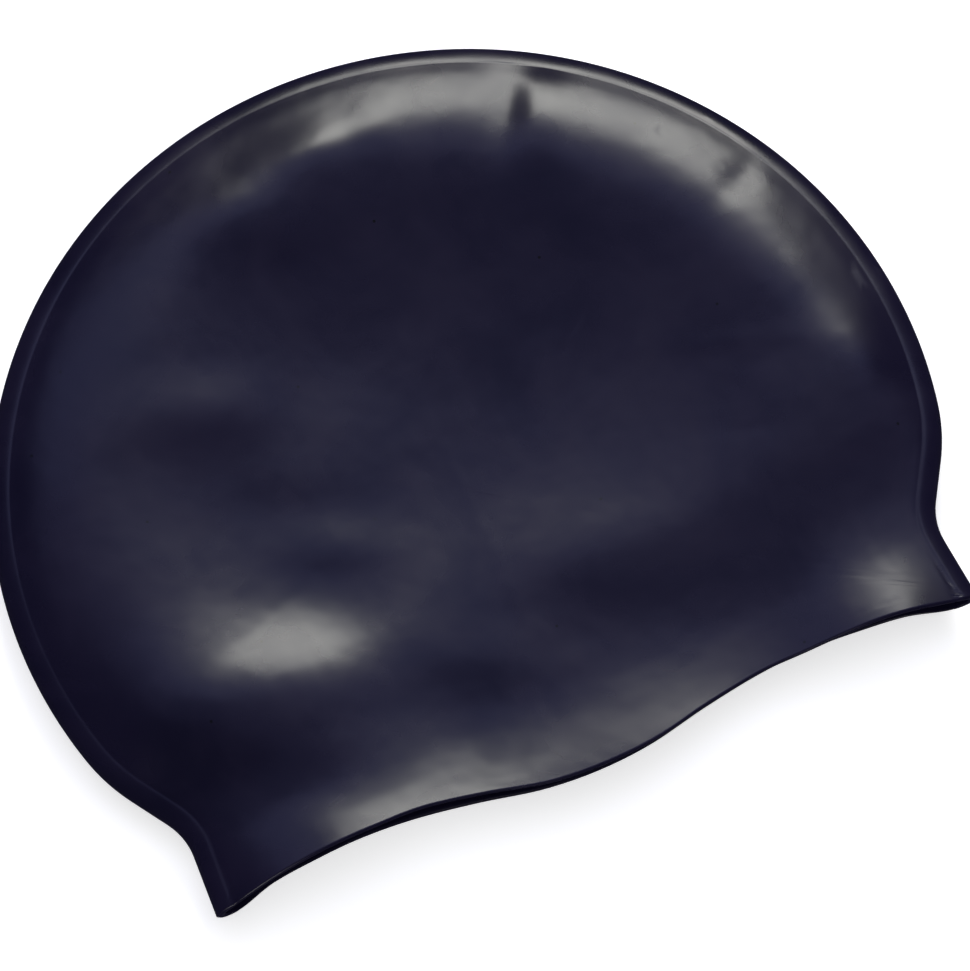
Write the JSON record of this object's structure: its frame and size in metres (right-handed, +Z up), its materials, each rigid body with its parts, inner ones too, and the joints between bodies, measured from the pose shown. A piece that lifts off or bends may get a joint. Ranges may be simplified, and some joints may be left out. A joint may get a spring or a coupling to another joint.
{
  "type": "swim cap",
  "caption": "Moulded silicone swim cap lying flat on its side: round crown, narrowed neck, waved open mouth and a round bead along its folded edge.",
  "frame": {"origin": "on the surface that the cap lies on, under the middle of its box", "axes": "+X along the mouth from one end of the fold to the other, +Y from the mouth to the crown, +Z up out of the surface that it lies on"},
  "size_m": [0.23, 0.1944, 0.019],
  "materials": {
    "silicone": "smooth moulded dark navy silicone, satin sheen"
  },
  "bodies": {
    "root": {"cap_shell": "silicone"}
  },
  "joints": []
}
